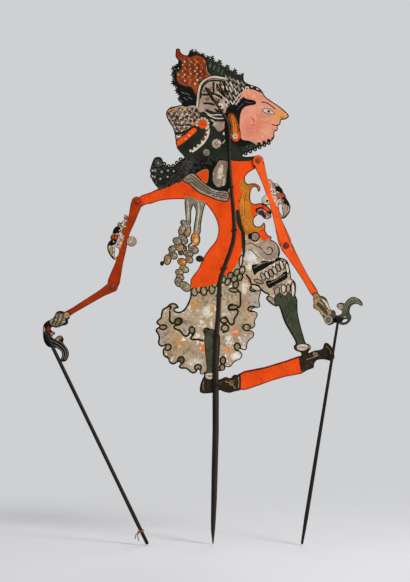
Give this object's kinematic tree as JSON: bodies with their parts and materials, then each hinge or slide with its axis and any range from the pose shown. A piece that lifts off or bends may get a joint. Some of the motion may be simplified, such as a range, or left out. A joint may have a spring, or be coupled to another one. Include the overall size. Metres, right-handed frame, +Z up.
{
  "type": "shadow puppet",
  "caption": "Flat painted rawhide shadow puppet on a split horn rod, with jointed shoulders and elbows and a rod tied to each hand.",
  "frame": {"origin": "point of the main rod", "axes": "+Z up along the main rod, +X towards the side that the figure faces, -Y out of the painted front"},
  "size_m": [0.4793, 0.0206, 0.7433],
  "materials": {
    "figure_hide": "painted rawhide, matt",
    "arm_hide": "painted rawhide, matt",
    "horn": "polished buffalo horn",
    "rod_wood": "black lacquered wood",
    "bone": "bone stained dark red",
    "leather": "plain hide",
    "thread": "waxed cotton thread"
  },
  "bodies": {
    "figure": {"figure_hide": "figure_hide", "main_rod": "horn", "rod_tie_1": "thread", "rod_tie_2": "thread", "rod_tie_3": "thread", "rod_tie_4": "thread", "rod_tie_5": "thread", "rod_tie_6": "thread", "rod_tie_7": "thread", "rod_tie_8": "thread", "rear_shoulder_spacer": "leather", "rear_shoulder_washer": "leather", "rear_shoulder_pin": "bone", "front_shoulder_spacer": "leather", "front_shoulder_washer": "leather", "front_shoulder_pin": "bone"},
    "rear_upper_arm": {"rear_upper_arm": "arm_hide", "rear_elbow_pin": "bone", "rear_elbow_washer": "leather"},
    "rear_forearm": {"rear_forearm": "arm_hide"},
    "rear_rod_thread": {"rear_rod_thread": "thread"},
    "rear_hand_rod": {"rear_hand_rod": "rod_wood", "rear_rod_tag_string": "thread"},
    "front_upper_arm": {"front_upper_arm": "arm_hide", "front_elbow_pin": "bone", "front_elbow_washer": "leather"},
    "front_forearm": {"front_forearm": "arm_hide"},
    "front_rod_thread": {"front_rod_thread": "thread"},
    "front_hand_rod": {"front_hand_rod": "rod_wood"}
  },
  "joints": [
    {"name": "rear_shoulder", "type": "hinge", "parent": "figure", "child": "rear_upper_arm", "pos_m": [-0.114, 0, 0.512], "axis": [0, 1, 0], "range_deg": [-6, 70]},
    {"name": "rear_elbow", "type": "hinge", "parent": "rear_upper_arm", "child": "rear_forearm", "pos_m": [-0.15083, 0, 0.38524], "axis": [0, 1, 0], "range_deg": [-4, 60]},
    {"name": "rear_rod_swing", "type": "hinge", "parent": "rear_forearm", "child": "rear_rod_thread", "pos_m": [-0.2497, 0, 0.31549], "axis": [0, 1, 0], "range_deg": [-3, 60]},
    {"name": "rear_rod_tilt", "type": "hinge", "parent": "rear_rod_thread", "child": "rear_hand_rod", "pos_m": [-0.2497, -0.0102, 0.31549], "axis": [-0.9011, 0, -0.4337], "range_deg": [0, 15]},
    {"name": "front_shoulder", "type": "hinge", "parent": "figure", "child": "front_upper_arm", "pos_m": [0.0675, 0, 0.574], "axis": [0, 1, 0], "range_deg": [-75, 6]},
    {"name": "front_elbow", "type": "hinge", "parent": "front_upper_arm", "child": "front_forearm", "pos_m": [0.10935, 0, 0.4467], "axis": [0, 1, 0], "range_deg": [-80, 4]},
    {"name": "front_rod_swing", "type": "hinge", "parent": "front_forearm", "child": "front_rod_thread", "pos_m": [0.18746, 0, 0.3372], "axis": [0, 1, 0], "range_deg": [-60, 3]},
    {"name": "front_rod_tilt", "type": "hinge", "parent": "front_rod_thread", "child": "front_hand_rod", "pos_m": [0.18746, -0.0102, 0.3372], "axis": [-0.9871, 0, 0.1599], "range_deg": [0, 15]}
  ]
}
